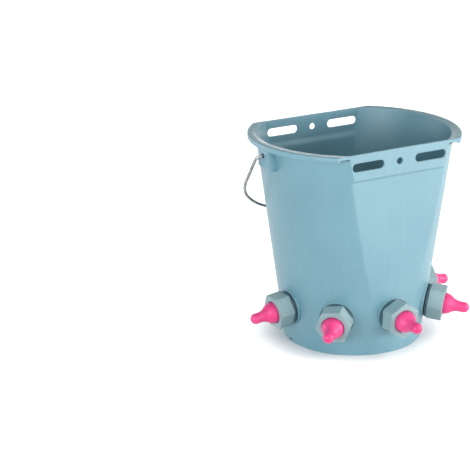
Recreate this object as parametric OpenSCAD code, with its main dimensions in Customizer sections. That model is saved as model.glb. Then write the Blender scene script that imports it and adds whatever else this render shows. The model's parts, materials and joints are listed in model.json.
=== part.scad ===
// Feeder bucket for lambs: a moulded bucket with two hanging flats, a swinging wire bail and five
// valve fittings, each with a rubber teat held by a hexagonal union nut.
// Millimetres. Z is up from the ground, the front flat faces -Y, and the bail swings about X.

/* [Bucket] */
// Height over the rim.
bucket_h = 260; // [180:1:360]
// Outside radius of the round wall at the foot.
foot_r = 85.4; // [60:0.1:120]
// Outside radius of the round wall at the rim, inside the lip.
rim_r = 120.5; // [85:0.1:170]
// Thickness of the wall.
wall_t = 2.6; // [1.8:0.1:4]
// Thickness of the base plate.
base_t = 3; // [2:0.1:5]
// Height of the foot ring below the base plate.
foot_ring_h = 6; // [4:0.5:12]
// Radius of the vent hole through the foot ring.
vent_r = 1.4; // [0.8:0.1:2]
// Height of the vent hole.
vent_z = 3.1; // [2:0.1:6]
// Turn of the vent hole from the front, in degrees.
vent_turn = -95; // [-180:1:180]

/* [Flats] */
// Distance at which the flat panel's plane passes outside the round wall at the foot.
panel_foot_out = 2.8; // [0.5:0.1:6]
// Distance at which the flat panel lies inside the round wall at the step below the slots.
panel_step_in = 20.48; // [12:0.01:28]
// Distance at which the upright slot band stands out from the top of the flat panel.
band_out = 1.8; // [0.5:0.1:4]
// Distance from the rim down to where the step out to the slot band starts.
step_drop = 34; // [30:0.5:60]
// Height of the step out to the slot band.
step_h = 2.5; // [1.5:0.1:8]
// Distance from the rim down to the slots and the round hole between them.
slot_drop = 15.6; // [10:0.1:20]
// Distance of each slot's middle from the middle of the flat.
slot_x = 44; // [25:0.1:60]
// Length of a slot over its round ends.
slot_l = 43.6; // [20:0.1:60]
// Width of a slot.
slot_w = 10.2; // [6:0.1:16]
// Radius of the round hole between the slots.
hole_r = 4; // [2:0.1:6]
// Width of the band beside the outer end of a slot.
band_side = 2; // [0.5:0.1:5]

/* [Lip and ears] */
// Width of the lip outside the round wall.
lip_w = 9.5; // [6:0.1:16]
// Thickness of the lip's top.
lip_t = 2.5; // [1.5:0.1:4]
// Thickness of the lip's turned-down skirt.
skirt_t = 2.4; // [1.5:0.1:4]
// Height of the skirt, from the top of the lip.
skirt_h = 6.5; // [4:0.1:12]
// Height of the wall that closes each end of the lip, from the top of the lip.
lip_end_h = 4.5; // [3:0.1:6]
// Radius of the lip's outer edge.
lip_edge_r = 1.2; // [0.4:0.1:2]
// Distance of an ear's outer face from the round wall at the rim.
ear_out = 8.8; // [6:0.1:16]
// Width of an ear.
ear_w = 22; // [14:0.5:36]
// Distance from the rim down to where an ear's outer face starts to slope back.
ear_face_drop = 27; // [20:0.5:32]
// Distance from the rim down to where the ear runs out into the wall.
ear_low_drop = 34; // [33:0.5:60]
// Distance from the rim down to the bail's pivot.
pivot_drop = 13.5; // [9:0.1:16]
// Distance of a pivot hole's blind end from the round wall at the rim.
pivot_end_out = 0.4; // [0:0.1:3]
// Radial play of the wire in a pivot hole.
pivot_play = 0.06; // [0.02:0.01:0.1]
// Width of the bevel at the mouth of a pivot hole.
pivot_bevel = 0.7; // [0.2:0.1:1.5]

/* [Bail] */
// Radius of the bail's wire.
wire_r = 1.95; // [1:0.05:4]
// Depth of the bail from its pivot to the middle of its bottom arc.
bail_depth = 148.2; // [110:0.1:220]
// Radius of each corner arc.
bail_corner_r = 83.5; // [40:0.1:120]
// Angle at which corner and bottom arc meet, in degrees.
bail_join = 40; // [25:1:60]
// Inward lean of each leg, in degrees.
leg_lean = 7.8; // [0:0.1:12]
// Radius of the bend between leg and pivot stub.
bail_bend_r = 6; // [4:0.5:12]
// Loss of wire radius where it is drawn round a bend.
bend_thinning = 0.02; // [0.01:0.01:0.05]
// Length by which a bend runs on into the wire beside it.
splice_l = 0.3; // [0.1:0.1:1]
// Gap between a stub's end and the blind end of its hole.
stub_gap = 0.4; // [0.2:0.1:1]
// Gap between an ear's outer face and the start of the bend.
ear_gap = 1.5; // [0.5:0.1:4]
// Gap between the resting bail and the rear wall.
rest_gap = 0.82; // [0.3:0.01:3]

/* [Stations] */
// Angle between neighbouring stations, in degrees.
station_step = 45; // [30:1:60]
// Height of a station's axis where it leaves the wall.
station_z = 49.5; // [30:0.5:90]
// Height of a seat's face above the wall's outside.
seat_rise = 0.8; // [0.4:0.1:3]
// Radius of the flat seat moulded round each hole.
seat_r = 22.4; // [16:0.1:30]
// Height of a seat's inner face over the wall's inside.
seat_back = 2.6; // [2:0.1:4]

/* [Valve spigot] */
// Radius of the tail that passes through the wall.
tail_r = 12; // [8:0.1:16]
// Radial play of the tail in the wall, the gasket and the lock nut.
tail_play = 0.1; // [0.05:0.01:0.3]
// Length of the tail behind the seat's inner face.
tail_l = 9; // [6:0.5:16]
// Radius of the wall gasket.
gasket_r = 20.6; // [14:0.1:28]
// Thickness of the wall gasket.
gasket_t = 1.4; // [0.8:0.1:3]
// Radius of the spigot's flange.
flange_r = 21.6; // [15:0.1:28]
// Thickness of the spigot's flange.
flange_t = 2.6; // [1.5:0.1:5]
// Radius of the spigot's threaded nose.
nose_r = 15.5; // [10:0.1:20]
// Distance of the nose's end from the seat.
nose_end = 16; // [10:0.1:24]
// Radius of the inlet.
inlet_r = 4; // [2.5:0.1:5]
// Distance of the ball's seat behind the wall's outer face.
ball_seat_s = 4; // [2:0.1:8]
// Radius of the ball's chamber.
chamber_r = 5.9; // [4:0.1:8]
// Width across the flats of the lock nut.
lock_nut_af = 32; // [26:0.5:38]
// Thickness of the lock nut.
lock_nut_t = 7; // [4:0.5:12]

/* [Ball and cage] */
// Radius of the ball.
ball_r = 5.5; // [3.5:0.1:7]
// Gap that stays between the ball and what stops it.
ball_gap = 0.15; // [0.1:0.05:0.5]
// Distance of the cage's floor from the wall's outer face.
cage_s = 9; // [6:0.1:14]
// Outside radius of the cage.
cage_r = 10; // [7:0.1:13]
// Radial play of the cage in the spigot.
cage_play = 0.05; // [0.02:0.01:0.2]
// Thickness of the cage's wall and floor.
cage_t = 2; // [1:0.1:3]
// Number of flow holes round the cage's floor.
flow_holes = 5; // [3:1:8]
// Radius of a flow hole.
flow_hole_r = 1.7; // [0.8:0.1:2.2]
// Radius of the ring of flow holes.
flow_ring_r = 5; // [3:0.1:7]

/* [Union nut] */
// Width across the flats.
nut_af = 39; // [32:0.5:50]
// Length of the nut.
nut_l = 17.9; // [12:0.1:26]
// Radial play of the nut on the threaded nose.
nut_play = 0.05; // [0.02:0.01:0.1]
// Thickness of the nut's front lip.
nut_lip_t = 3; // [1.5:0.1:5]
// Radius of the opening in the front lip.
nut_mouth_r = 13.7; // [9:0.1:18]
// Bevel on the nut's outer corners, measured inwards.
nut_bevel = 0.9; // [0.3:0.1:2]
// Gap between faces that part when the nut is undone.
face_gap = 0.05; // [0.02:0.01:0.2]
// Turn of each nut as it is left after tightening, in degrees.
nut_turns = [30, 7, 38, 26, 42]; // [0:1:60]

/* [Teat] */
// Radius of the clamped flange.
teat_flange_r = 15.2; // [10:0.1:19]
// Thickness of the clamped flange.
teat_flange_t = 4; // [2:0.1:6]
// Radius of the opening in the clamped flange.
teat_mouth_r = 9.5; // [6:0.1:12]
// Radial gap between the dome's widest place and the opening in the nut's front lip.
dome_play = 1.1; // [0.2:0.1:2]
// Distance from the axis of the centre of the dome's round shoulder.
dome_core = 1; // [0.2:0.1:3]
// Distance of the dome's widest place in front of the nut.
dome_s = 1.2; // [0:0.1:4]
// Radius of the neck.
neck_r = 6.4; // [5:0.1:6.6]
// Radius of the hollow where the dome runs into the neck.
neck_fillet_r = 16; // [6:0.5:20]
// Radius of the round tip.
tip_r = 6.7; // [6.4:0.1:9]
// Length of the teat in front of the nut.
teat_l = 30.9; // [28:0.1:45]
// Thickness of the rubber.
rubber_t = 2.6; // [1.5:0.1:3.5]
// Radius of the outlet in the tip.
outlet_r = 0.8; // [0.4:0.1:1.5]

/* [Hidden] */
$fn = 96;
// Overrun of cutting shapes.
over = 1;
stations = 5;
middle_station = (stations + 1) / 2;
half_turn = 180;
cone_slope_share = (rim_r - foot_r) / bucket_h;
cone_tilt = atan(cone_slope_share);
// Radius of the round wall's outside at height z.
function wall_r(z) = foot_r + cone_slope_share * z;
step_low_z = bucket_h - step_drop;
step_high_z = step_low_z + step_h;
slot_z = bucket_h - slot_drop;
band_x = slot_x + slot_l / 2 + band_side;
panel_foot_d = foot_r + panel_foot_out;
panel_step_d = wall_r(step_low_z) - panel_step_in;
band_d = panel_step_d + band_out;
panel_slope_share = (panel_step_d - panel_foot_d) / step_low_z;
panel_tilt = atan(panel_slope_share);
// Distance of the flat panel's outside from the middle at height z.
function panel_d(z) = panel_foot_d + panel_slope_share * z;
lip_r = rim_r + lip_w;
ear_x = rim_r + ear_out;
ear_face_z = bucket_h - ear_face_drop;
ear_low_z = bucket_h - ear_low_drop;
pivot_z = bucket_h - pivot_drop;
pivot_end_x = rim_r + pivot_end_out;
// Distance of a station's seat from the middle and tilt of its axis: the middle station is on the flat panel.
function seat_d(i) = seat_rise + (i == middle_station ? panel_d(station_z) : wall_r(station_z));
function station_tilt(i) = i == middle_station ? panel_tilt : cone_tilt;
seat_t = seat_rise + wall_t + seat_back;
floor_z = foot_ring_h + base_t;
reach = lip_r + ear_x;
ear_top_z = bucket_h - lip_t;
pivot_hole_r = wire_r + pivot_play;
flange_s = gasket_t;
nose_s = flange_s + flange_t;
teat_s = nose_end + face_gap;
nut_lip_s = teat_s + teat_flange_t + face_gap;
nut_front_s = nut_lip_s + nut_lip_t;
nut_rear_s = nut_front_s - nut_l;
nut_corner_r = nut_af / 2 / cos(30);
ball_out_s = cage_s - ball_gap - ball_r;
seat_cone_l = chamber_r - inlet_r;
lock_nut_corner_r = lock_nut_af / 2 / cos(30);
tail_end_s = -seat_t - tail_l;
// Bail in its own plane, x across and y down from the pivot: the stubs start from the ears, and the
// bottom arc has the radius that closes the wire between its two corners.
stub_x = ear_x + ear_gap;
leg_top_x = stub_x + bail_bend_r * cos(leg_lean);
leg_top_y = bail_bend_r * (1 + sin(leg_lean));
leg_off = leg_top_x * cos(leg_lean) + leg_top_y * sin(leg_lean);
join_share = cos(bail_join - leg_lean);
leg_room = leg_off - bail_depth * sin(leg_lean) - bail_corner_r * (1 - join_share);
bail_arc_r = leg_room / (join_share - sin(leg_lean));
arc_y = bail_depth - bail_arc_r;
corner_x = (bail_arc_r - bail_corner_r) * cos(bail_join);
corner_y = arc_y + (bail_arc_r - bail_corner_r) * sin(bail_join);
leg_low_x = corner_x + bail_corner_r * cos(leg_lean);
leg_low_y = corner_y + bail_corner_r * sin(leg_lean);
leg_l = (leg_low_y - leg_top_y) / cos(leg_lean);
// Gap between the bail's bottom arc and the rear wall, hanging at an angle behind straight down.
arc_samples = 40;
function rest_clearance(angle) = min([
    for (k = [0 : arc_samples])
        let (
            x = bail_arc_r * cos(bail_join) * k / arc_samples,
            down = arc_y + sqrt(bail_arc_r * bail_arc_r - x * x),
            y = down * sin(angle),
            z = pivot_z - down * cos(angle)
        )
        max(norm([x, y]) - wall_r(z), y - panel_d(z)) - wire_r
]);
// Angle at which that gap is the wanted one, by halving a span of angles.
function rest_angle(low, high, halvings) =
    let (middle = (low + high) / 2)
    halvings <= 0 ? middle
    : rest_clearance(middle) < rest_gap ? rest_angle(middle, high, halvings - 1)
    : rest_angle(low, middle, halvings - 1);
bail_rest = rest_angle(0, half_turn / 2, arc_samples);
// Dome and neck arcs of the teat, r across and s along the axis.
dome_r = nut_mouth_r - dome_play;
dome_arc_r = dome_r - dome_core;
dome_y = nut_front_s + dome_s;
fillet_x = neck_r + neck_fillet_r;
fillet_reach = dome_arc_r + neck_fillet_r;
fillet_y = dome_y + sqrt(fillet_reach * fillet_reach - (fillet_x - dome_core) * (fillet_x - dome_core));
blend_share = dome_arc_r / fillet_reach;
blend_x = dome_core + (fillet_x - dome_core) * blend_share;
blend_y = dome_y + (fillet_y - dome_y) * blend_share;
tip_y = nut_front_s + teat_l - tip_r;
plastic_blue = "#8fbac8";
nut_grey = "#9bb5b9";
teat_pink = "#f4528f";
wire_grey = "#b9bcbe";
rubber_black = "#26292b";
valve_white = "#dfe3e2";
ball_white = "#f2f2ee";

// Puts a piece at a station: its Z runs outwards along the station's axis from the seat's face.
module at_station(i) {
    rotate([0, 0, (i - middle_station) * station_step])
        translate([0, -seat_d(i), station_z])
            rotate([90 + station_tilt(i), 0, 0])
                children();
}

// Ring or tube along Z.
module tube(outer_r, inner_r, low, high) {
    translate([0, 0, low])
        difference() {
            cylinder(r = outer_r, h = high - low);
            translate([0, 0, -over])
                cylinder(r = inner_r, h = high - low + 2 * over);
        }
}

// Round wall as a filled cone, inset from the outside, between two heights.
module cone_fill(inset, low, high) {
    rotate_extrude()
        polygon([
            [0, low],
            [wall_r(low) - inset, low],
            [wall_r(high) - inset, high],
            [0, high]
        ]);
}

// Space between the two flats, inset from the outside, as an outline drawn out along X.
module flats_fill(inset, low, high) {
    half = [
        [panel_foot_d - inset - over, low],
        [panel_foot_d - inset, 0],
        [panel_step_d - inset, step_low_z],
        [band_d - inset, step_high_z],
        [band_d - inset, high]
    ];
    rotate([90, 0, 90])
        linear_extrude(height = 2 * reach, center = true)
            polygon(concat(half, [for (i = [len(half) - 1 : -1 : 0]) [-half[i][0], half[i][1]]]));
}

// Section of the lip with its turned-down skirt and round outer edge.
module lip_section() {
    difference() {
        translate([rim_r - wall_t, bucket_h - skirt_h])
            square([lip_r - rim_r + wall_t, skirt_h]);
        translate([rim_r - wall_t - over, bucket_h - skirt_h - over])
            square([lip_r - skirt_t - rim_r + wall_t + over, skirt_h - lip_t + over]);
        translate([lip_r - lip_edge_r, bucket_h - lip_edge_r])
            difference() {
                square(lip_edge_r + over);
                circle(r = lip_edge_r);
            }
    }
}

// Block between the outsides of the two slot bands, or less by an inset at each.
module between_bands(inset) {
    depth = band_d - inset;
    translate([-reach, -depth, 0])
        cube([2 * reach, 2 * depth, bucket_h + over]);
}

// Lip on the two round sides, ending in line with the flats and closed at its ends.
module lip() {
    intersection() {
        between_bands(0);
        union() {
            rotate_extrude()
                lip_section();
            difference() {
                rotate_extrude()
                    translate([rim_r - wall_t, bucket_h - lip_end_h])
                        square([lip_r - skirt_t / 2 - rim_r + wall_t, lip_end_h - lip_t / 2]);
                between_bands(skirt_t);
            }
        }
    }
}

// Solid ear under the lip on the +X side.
module ear() {
    translate([0, ear_w / 2, 0])
        rotate([90, 0, 0])
            linear_extrude(height = ear_w)
                polygon([
                    [foot_r, ear_low_z],
                    [wall_r(ear_low_z), ear_low_z],
                    [ear_x, ear_face_z],
                    [ear_x, ear_top_z],
                    [foot_r, ear_top_z]
                ]);
}

// Blind pivot hole in an ear on the +X side, with a bevelled mouth.
module pivot_hole() {
    translate([pivot_end_x, 0, pivot_z])
        rotate([0, 90, 0])
            cylinder(r = pivot_hole_r, h = ear_x - pivot_end_x + over);
    translate([ear_x - pivot_bevel, 0, pivot_z])
        rotate([0, 90, 0])
            cylinder(r1 = pivot_hole_r, r2 = pivot_hole_r + 2 * pivot_bevel, h = 2 * pivot_bevel);
}

// Slots and round hole, cut along Y through both bands at once.
module hanging_holes() {
    translate([0, reach / 2, slot_z])
        rotate([90, 0, 0])
            linear_extrude(height = reach) {
                circle(r = hole_r);
                for (side = [-1, 1]) {
                    translate([side * slot_x, 0])
                        square([slot_l - slot_w, slot_w], center = true);
                    for (end = [-1, 1])
                        translate([side * slot_x + end * (slot_l - slot_w) / 2, 0])
                            circle(d = slot_w);
                }
            }
}

// Moulded bucket: stepped flats, lip, ears, foot ring and a flat seat at each station.
module moulding() {
    difference() {
        union() {
            difference() {
                union() {
                    intersection() {
                        cone_fill(0, 0, bucket_h);
                        flats_fill(0, -over, bucket_h + over);
                    }
                    lip();
                    ear();
                    mirror([1, 0, 0]) ear();
                }
                intersection() {
                    cone_fill(wall_t, floor_z, bucket_h + over);
                    flats_fill(wall_t, -over, bucket_h + over);
                }
                cone_fill(wall_t, -over, foot_ring_h);
            }
            for (i = [1 : stations])
                at_station(i)
                    translate([0, 0, -seat_t])
                        cylinder(r = seat_r, h = seat_t);
        }
        for (i = [1 : stations])
            at_station(i)
                translate([0, 0, -seat_t - over])
                    cylinder(r = tail_r + tail_play, h = seat_t + 2 * over);
        hanging_holes();
        pivot_hole();
        mirror([1, 0, 0]) pivot_hole();
        rotate([0, 0, vent_turn])
            translate([0, -foot_r / 2, vent_z])
                rotate([90, 0, 0])
                    cylinder(r = vent_r, h = foot_r);
    }
}

// The part of the moulding in a box between two corners.
module moulding_part(low, high) {
    color(plastic_blue)
        intersection() {
            moulding();
            translate(low)
                cube(high - low);
        }
}

// Base plate and foot ring.
module bucket_base() {
    moulding_part([-reach, -reach, -over], [reach, reach, floor_z]);
}

// Tapered wall with its two flat panels and the seats, from the base up to the step.
module bucket_wall() {
    moulding_part([-reach, -reach, floor_z], [reach, reach, step_low_z]);
}

// Upright band with the hanging slots, at the front or at the rear.
module slot_band(rear) {
    moulding_part([-band_x, rear ? 0 : -reach, step_low_z], [band_x, rear ? reach : 0, bucket_h + over]);
}

// Round wall above the step with the turned lip and the ear, on the left or on the right.
module rim(right) {
    low = [right ? band_x : -reach, -reach, step_low_z];
    high = [right ? reach : -band_x, reach, bucket_h + over];
    moulding_part(low, high);
}

// Arc of wire in the bail's plane about a centre, between two angles.
module wire_arc(centre, arc_r, start, stop, radius) {
    translate([centre[0], centre[1], 0])
        rotate([0, 0, start])
            rotate_extrude(angle = stop - start)
                translate([arc_r, 0])
                    circle(r = radius);
}

// Bend in the wire, drawn a little thin and run on into the wire at both ends.
module wire_bend(centre, arc_r, start, stop) {
    run_on = splice_l / arc_r * half_turn / PI;
    wire_arc(centre, arc_r, start - run_on, stop + run_on, wire_r - bend_thinning);
}

// One side of the bail: stub, bend, leaning leg and corner.
module bail_side() {
    translate([pivot_end_x + stub_gap, 0, 0])
        rotate([0, 90, 0])
            cylinder(r = wire_r, h = stub_x - pivot_end_x - stub_gap);
    wire_bend([stub_x, bail_bend_r], bail_bend_r, -90, leg_lean);
    translate([leg_low_x, leg_low_y, 0])
        rotate([90, 0, leg_lean])
            cylinder(r = wire_r, h = leg_l);
    wire_bend([corner_x, corner_y], bail_corner_r, leg_lean, bail_join);
}

// Wire bail, hung from the ears and lying back against the rear flat.
module bail_handle() {
    color(wire_grey)
        translate([0, 0, pivot_z])
            rotate([bail_rest - 90, 0, 0]) {
                bail_side();
                mirror([1, 0, 0]) bail_side();
                wire_arc([0, arc_y], bail_arc_r, bail_join, half_turn - bail_join, wire_r);
            }
}

// Rubber ring between the seat and the spigot's flange.
module wall_gasket(i) {
    color(rubber_black)
        at_station(i)
            tube(gasket_r, tail_r + tail_play, 0, gasket_t);
}

// Spigot through the wall: tail, round flange, threaded nose and the ball's chamber.
module valve_spigot(i) {
    color(nut_grey)
        at_station(i)
            rotate_extrude()
                polygon([
                    [inlet_r, tail_end_s],
                    [tail_r, tail_end_s],
                    [tail_r, flange_s],
                    [flange_r, flange_s],
                    [flange_r, nose_s],
                    [nose_r, nose_s],
                    [nose_r, nose_end],
                    [cage_r + cage_play, nose_end],
                    [cage_r + cage_play, cage_s],
                    [chamber_r, cage_s],
                    [chamber_r, seat_cone_l - ball_seat_s],
                    [inlet_r, -ball_seat_s]
                ]);
}

// Hexagonal nut that clamps the spigot from inside the bucket.
module lock_nut(i) {
    color(nut_grey)
        at_station(i)
            translate([0, 0, -seat_t - lock_nut_t])
                difference() {
                    cylinder(r = lock_nut_corner_r, h = lock_nut_t, $fn = 6);
                    translate([0, 0, -over])
                        cylinder(r = tail_r + tail_play, h = lock_nut_t + 2 * over);
                }
}

// Loose ball of the non-return valve, lying against its cage.
module valve_ball(i) {
    color(ball_white)
        at_station(i)
            translate([0, 0, ball_out_s])
                sphere(r = ball_r);
}

// Cup with flow holes that keeps the ball in its chamber.
module ball_cage(i) {
    color(valve_white)
        at_station(i)
            difference() {
                translate([0, 0, cage_s])
                    cylinder(r = cage_r, h = nose_end - cage_s);
                translate([0, 0, cage_s + cage_t])
                    cylinder(r = cage_r - cage_t, h = nose_end - cage_s);
                for (k = [1 : flow_holes])
                    rotate([0, 0, k * 360 / flow_holes])
                        translate([flow_ring_r, 0, cage_s - over])
                            cylinder(r = flow_hole_r, h = cage_t + 2 * over);
            }
}

// Outline of the teat's body in front of its flange, inset from the outside.
module teat_outline(inset) {
    intersection() {
        translate([0, teat_s - over])
            square([dome_r, teat_l + nut_front_s]);
        union() {
            translate([0, teat_s - over])
                square([(inset == 0 ? dome_r : teat_mouth_r), dome_y - teat_s + over]);
            difference() {
                union() {
                    translate([dome_core, dome_y])
                        circle(r = dome_arc_r - inset);
                    translate([0, dome_y])
                        square([dome_core, dome_arc_r - inset]);
                    translate([0, blend_y])
                        square([blend_x, fillet_y - blend_y]);
                }
                translate([fillet_x, fillet_y])
                    circle(r = neck_fillet_r + inset);
            }
            translate([0, dome_y])
                square([neck_r - inset, tip_y - dome_y]);
            translate([0, tip_y])
                circle(r = tip_r - inset);
        }
    }
}

// Hollow rubber teat with the flange that the nut clamps.
module teat(i) {
    color(teat_pink)
        at_station(i)
            rotate_extrude()
                difference() {
                    intersection() {
                        union() {
                            teat_outline(0);
                            translate([0, teat_s])
                                square([teat_flange_r, teat_flange_t]);
                        }
                        translate([0, teat_s])
                            square([teat_flange_r, teat_l + nut_front_s]);
                    }
                    teat_outline(rubber_t);
                    translate([0, tip_y])
                        square([outlet_r, tip_r + over]);
                }
}

// Hexagonal union nut with bevelled ends and a front lip over the teat's flange.
module union_nut(i) {
    color(nut_grey)
        at_station(i)
            rotate([0, 0, nut_turns[i - 1]])
                difference() {
                    intersection() {
                        translate([0, 0, nut_rear_s])
                            cylinder(r = nut_corner_r, h = nut_l, $fn = 6);
                        rotate_extrude()
                            polygon([
                                [0, nut_rear_s],
                                [nut_corner_r - nut_bevel, nut_rear_s],
                                [nut_corner_r + nut_bevel, nut_rear_s + 2 * nut_bevel],
                                [nut_corner_r + nut_bevel, nut_front_s - 2 * nut_bevel],
                                [nut_corner_r - nut_bevel, nut_front_s],
                                [0, nut_front_s]
                            ]);
                    }
                    translate([0, 0, nut_rear_s - over])
                        cylinder(r = nose_r + nut_play, h = nut_lip_s - nut_rear_s + over);
                    translate([0, 0, nut_rear_s])
                        cylinder(r = nut_mouth_r, h = nut_l + over);
                }
}

bucket_base();
bucket_wall();
slot_band(false);  // front_band
slot_band(true);  // rear_band
rim(false);  // left_rim
rim(true);  // right_rim
bail_handle();
wall_gasket(1);  // wall_gasket_1
wall_gasket(2);  // wall_gasket_2
wall_gasket(3);  // wall_gasket_3
wall_gasket(4);  // wall_gasket_4
wall_gasket(5);  // wall_gasket_5
valve_spigot(1);  // valve_spigot_1
valve_spigot(2);  // valve_spigot_2
valve_spigot(3);  // valve_spigot_3
valve_spigot(4);  // valve_spigot_4
valve_spigot(5);  // valve_spigot_5
lock_nut(1);  // lock_nut_1
lock_nut(2);  // lock_nut_2
lock_nut(3);  // lock_nut_3
lock_nut(4);  // lock_nut_4
lock_nut(5);  // lock_nut_5
valve_ball(1);  // valve_ball_1
valve_ball(2);  // valve_ball_2
valve_ball(3);  // valve_ball_3
valve_ball(4);  // valve_ball_4
valve_ball(5);  // valve_ball_5
ball_cage(1);  // ball_cage_1
ball_cage(2);  // ball_cage_2
ball_cage(3);  // ball_cage_3
ball_cage(4);  // ball_cage_4
ball_cage(5);  // ball_cage_5
teat(1);  // teat_1
teat(2);  // teat_2
teat(3);  // teat_3
teat(4);  // teat_4
teat(5);  // teat_5
union_nut(1);  // union_nut_1
union_nut(2);  // union_nut_2
union_nut(3);  // union_nut_3
union_nut(4);  // union_nut_4
union_nut(5);  // union_nut_5
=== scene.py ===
"""Looks of a feeding bucket for lambs: moulded blue bucket with slotted flats, steel wire bail and five
valve fittings, each with a pink rubber teat held by a hexagonal union nut.

Sizes are in millimetres in the frame of the solids and go into the meshes in metres. Every piece is a
grid of points worked out with numpy: a profile turned about an axis, or carried along a path.

In names, r is a radius, s a place along a station's axis, d a distance from the middle plane, t a
thickness, and l, w and h a length, width and height.
"""
import json
import math
import bpy
import numpy as np
from mathutils import Matrix


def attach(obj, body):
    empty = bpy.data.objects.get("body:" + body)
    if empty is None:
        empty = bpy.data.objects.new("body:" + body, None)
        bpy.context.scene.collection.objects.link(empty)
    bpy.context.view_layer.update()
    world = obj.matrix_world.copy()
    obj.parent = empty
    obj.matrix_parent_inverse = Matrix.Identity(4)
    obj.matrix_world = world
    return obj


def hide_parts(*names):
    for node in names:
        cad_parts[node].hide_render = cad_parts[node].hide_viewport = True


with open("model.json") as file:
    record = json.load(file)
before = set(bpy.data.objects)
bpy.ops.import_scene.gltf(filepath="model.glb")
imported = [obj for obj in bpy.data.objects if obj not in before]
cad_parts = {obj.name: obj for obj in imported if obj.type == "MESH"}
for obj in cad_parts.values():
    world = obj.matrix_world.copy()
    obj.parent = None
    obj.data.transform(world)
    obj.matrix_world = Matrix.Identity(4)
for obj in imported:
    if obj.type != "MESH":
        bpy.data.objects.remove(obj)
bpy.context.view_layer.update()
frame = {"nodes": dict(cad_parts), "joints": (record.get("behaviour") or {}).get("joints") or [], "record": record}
METRES = 0.001
SUBPARTS = frame["record"]["subparts"]
MOULDING = [part["node"] for part in SUBPARTS if part["material_slot"] == "bucket_plastic"]
STATIONS = range(1, 6)

# Bucket: a round wall that tapers, cut by two flats, each a leaning panel, a step and an upright band
rim_z = 260.0
foot_r = 85.4
rim_r = 120.5
wall_t = 2.6
floor_z = 9.0
floor_fillet_r = 6.0
recess_z = 6.0
foot_edge_r = 1.0
rim_inner_edge_r = 0.9
rim_outer_edge_r = 0.8
panel_foot_d = 88.2
panel_step_d = 95.43
band_d = 97.23
step_low_z = 226.0
step_high_z = 228.5
crease_soft = 1.0
step_soft = 0.35
step_soft_inside = 2.6
# Rows of the wall below, at and above the step: lowest, highest and count
wall_rows = ((16.0, 220.0, 44), (223.0, 231.0, 33), (233.0, 258.0, 12))
foot_rows = (12.0, 8.0, 4.0, 2.0)
# Openings of the bucket, with the reach of their cutters from the middle or along a station's axis
slot_z = 244.4
slot_x = 44.0
slot_l = 43.6
slot_w = 10.2
hole_r = 4.0
slot_edge_r = 0.9
slot_edge_root = 0.6
slot_edge_sunk = 0.3
vent_r = 2.2
vent_z = 3.1
vent_turn = -95.0
band_cut = (80.0, 110.0)
vent_cut = (78.0, 92.0)
station_cut = (-14.0, 6.0)
# Lip
lip_r = 130.0
lip_t = 2.5
lip_edge_r = 1.2
lip_root = 1.2
lip_root_sunk = 0.9
lip_root_drop = 1.0
lip_overlap = 0.25
lip_fillet_r = 0.9
lip_fillet_out = 0.8
lip_run = 0.94
lip_end_h = 4.5
lip_end_edge_r = 0.5
lip_end_step = 0.05
skirt_t = 2.4
skirt_h = 6.5
skirt_edge_r = 0.8
# Ears with the bail's pivot
ear_x = 129.3
ear_half_w = 11.0
ear_face_z = 233.0
ear_low_z = 226.0
ear_top_z = 257.8
ear_root = 1.3
ear_pole_z = 245.0
ear_pole_root = 1.4
ear_bend_soft = 1.0
ear_edge_r = 1.4
ear_top_corner_r = 2.4
ear_low_corner_r = 5.0
ear_least_side = 0.05
ear_least_face = 0.06
pivot_z = 246.5
pivot_end_x = 120.9
pivot_r = 2.01
pivot_mouth_r = 3.6
pivot_mouth_depth = 2.6
pivot_mouth_edge_r = 0.5
pivot_mouth_bevel = 0.6
# Bail
wire_r = 1.95
wire_end_r = 0.6
stub_start_x = 121.3
stub_x = 130.8
bail_bend_r = 6.0
bail_corner_r = 83.5
bail_arc_r = 145.6
bail_depth = 148.2
bail_join = 40.0
leg_lean = 7.8
bail_rest = 43.197
# Seats, gaskets and spigots, along a station's axis from the seat's face
seat_r = 22.4
seat_t = 6.0
seat_edge_r = 0.7
seat_draft = 0.1
seat_side_s = -2.0
pad_edge_r = 0.8
gasket_r = 20.1
gasket_t = 1.4
gasket_edge = 0.6
gasket_play = 0.02
tail_r = 12.0
tail_hole_r = 12.1
tail_end_s = -15.0
tail_bevel = 0.6
flange_r = 20.9
flange_rear_edge_r = 0.5
flange_front_edge_r = 0.7
nose_s = 4.0
nose_r = 15.5
nose_root = 0.3
nose_end_s = 16.0
nose_bevel = 0.7
inlet_r = 4.0
inlet_s = -4.0
chamber_r = 5.9
ball_seat_s = -2.1
cage_r = 10.05
cage_seat_s = 9.0
cage_bevel_r = 0.35
cage_bevel_s = 0.4
thread_depth = 0.8
thread_pitch = 3.0
thread_sharpness = 0.9
thread_fade = 0.8
thread_start = 0.35
thread_stop = 0.4
# Nuts
nut_half_af = 19.5
nut_rear_s = 4.2
nut_lip_s = 20.1
nut_front_s = 23.1
nut_bore_r = 15.55
nut_mouth_r = 13.7
nut_mouth_edge_r = 0.8
nut_bevel = 0.6
nut_edge_r = 0.55
nut_corner_r = 0.9
nut_chamfer = 0.6
nut_turns = [2.0, 7.0, 28.0, 3.0, 42.0]
lock_nut_half_af = 16.0
lock_nut_low_s = -13.0
lock_nut_chamfer = 0.9
chamfer_slope = 1.1
chamfer_edge_share = 0.3
chamfer_soft = 0.5
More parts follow.
